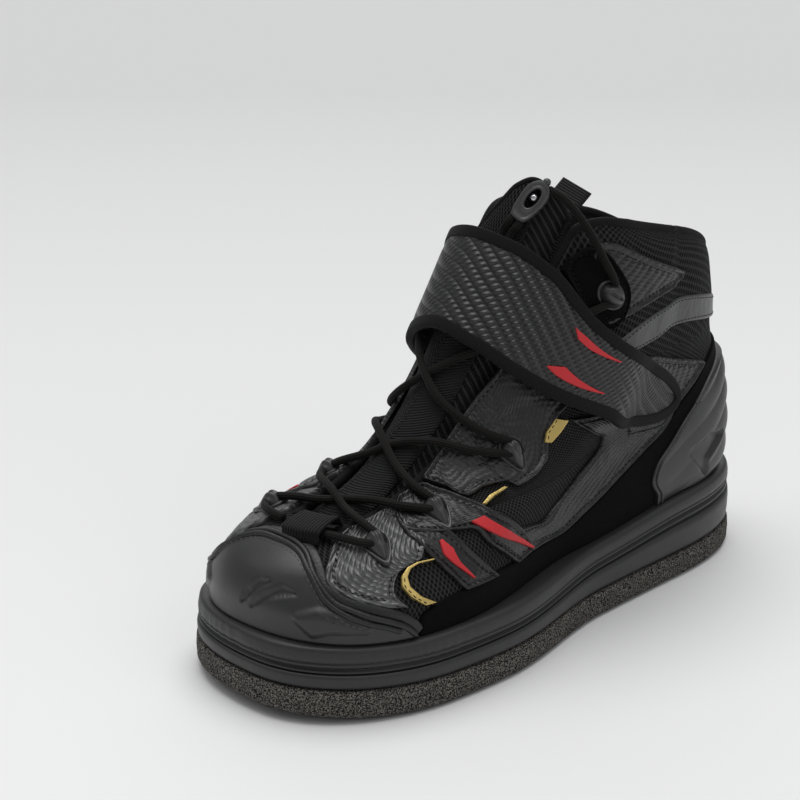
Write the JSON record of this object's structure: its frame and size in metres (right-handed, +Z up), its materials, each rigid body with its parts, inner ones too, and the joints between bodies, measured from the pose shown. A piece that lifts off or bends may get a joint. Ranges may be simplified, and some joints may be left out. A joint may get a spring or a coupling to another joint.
{
  "type": "wading shoe",
  "caption": "Ankle-high wading shoe with a thick felt sole, rubber toe cap and heel counter, mesh and leather upper, round laces and a wide strap over the instep.",
  "frame": {"origin": "on the floor, under the middle of the sole's length, on the line that joins heel and forefoot", "axes": "+X to the toe, +Y to the lateral side, which is the outer side of the left foot, +Z up"},
  "size_m": [0.3, 0.1202, 0.1974],
  "materials": {
    "felt": "dense pressed felt, matt",
    "midsole": "moulded, satin",
    "insole": "woven cover, matt",
    "mesh": "open mesh, matt",
    "moulded": "moulded, satin",
    "suede": "napped, matt",
    "leather": "embossed synthetic leather, satin",
    "strap": "embossed synthetic leather, bound edges",
    "webbing": "ribbed webbing, matt",
    "pebble": "moulded, satin",
    "lace": "braided round cord, matt",
    "lock": "moulded, satin"
  },
  "bodies": {
    "root": {"felt_outsole": "felt", "midsole": "midsole", "insole": "insole", "upper": "mesh", "tongue": "mesh", "toe_cap": "moulded", "heel_counter": "moulded", "heel_strip": "moulded", "rand_lateral": "suede", "rand_medial": "suede", "vamp_panel_lateral": "leather", "vamp_panel_medial": "leather", "eyestay_lateral": "leather", "eyestay_medial": "leather", "quarter_lateral": "leather", "quarter_medial": "leather", "ankle_patch_lateral": "leather", "ankle_patch_medial": "leather", "instep_strap": "strap", "vamp_loop": "webbing", "tongue_pull": "webbing", "eyelet_vamp_lateral": "pebble", "eyelet_vamp_medial": "pebble", "eyelet_lower_lateral": "pebble", "eyelet_lower_medial": "pebble", "eyelet_upper_lateral": "pebble", "eyelet_upper_medial": "pebble", "eyelet_ankle_lateral": "pebble", "eyelet_ankle_medial": "pebble", "lace_crossings": "lace", "lace_run": "lace", "lace_end_lateral": "lace", "lace_end_medial": "lace", "cord_lock": "lock"}
  },
  "joints": []
}
